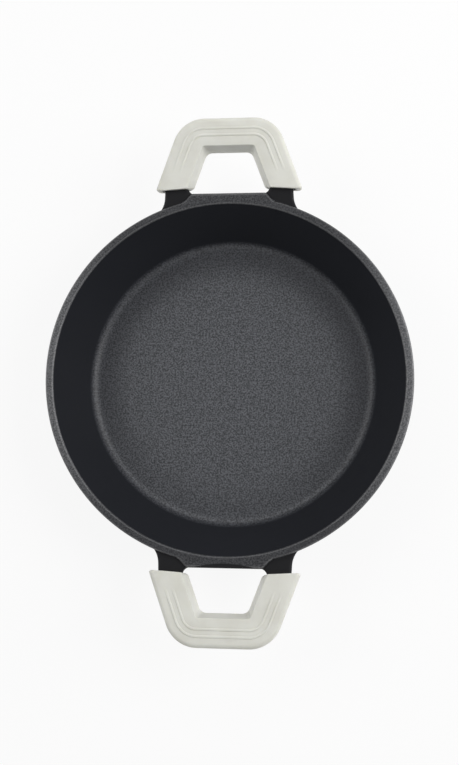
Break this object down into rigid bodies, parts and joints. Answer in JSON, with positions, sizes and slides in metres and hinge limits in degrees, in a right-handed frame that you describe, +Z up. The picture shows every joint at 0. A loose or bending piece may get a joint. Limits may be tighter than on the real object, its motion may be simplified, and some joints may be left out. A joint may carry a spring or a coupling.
{
  "type": "skillet",
  "caption": "Round cast-iron skillet with a flat floor, flared wall and raised trapezoid loop handles, each in a ribbed slip-on silicone grip sleeve.",
  "frame": {"origin": "centre of the pan's flat base, on the surface that it stands on", "axes": "+Z up out of the bowl, +Y from one loop handle to the other, +X across"},
  "size_m": [0.2778, 0.3978, 0.0618],
  "materials": {
    "coated_iron": "matt black coating over a sand-cast surface",
    "silicone": "off-white moulded silicone, satin"
  },
  "bodies": {
    "pan": {"pan_casting": "coated_iron"},
    "north_sleeve": {"north_grip_sleeve": "silicone"},
    "south_sleeve": {"south_grip_sleeve": "silicone"}
  },
  "joints": [
    {"name": "north_sleeve_pull", "type": "slide", "parent": "pan", "child": "north_sleeve", "axis": [0, 0.9903, 0.1392], "range_m": [0, 0.07]},
    {"name": "south_sleeve_pull", "type": "slide", "parent": "pan", "child": "south_sleeve", "axis": [0, -0.9903, 0.1392], "range_m": [0, 0.07]}
  ]
}
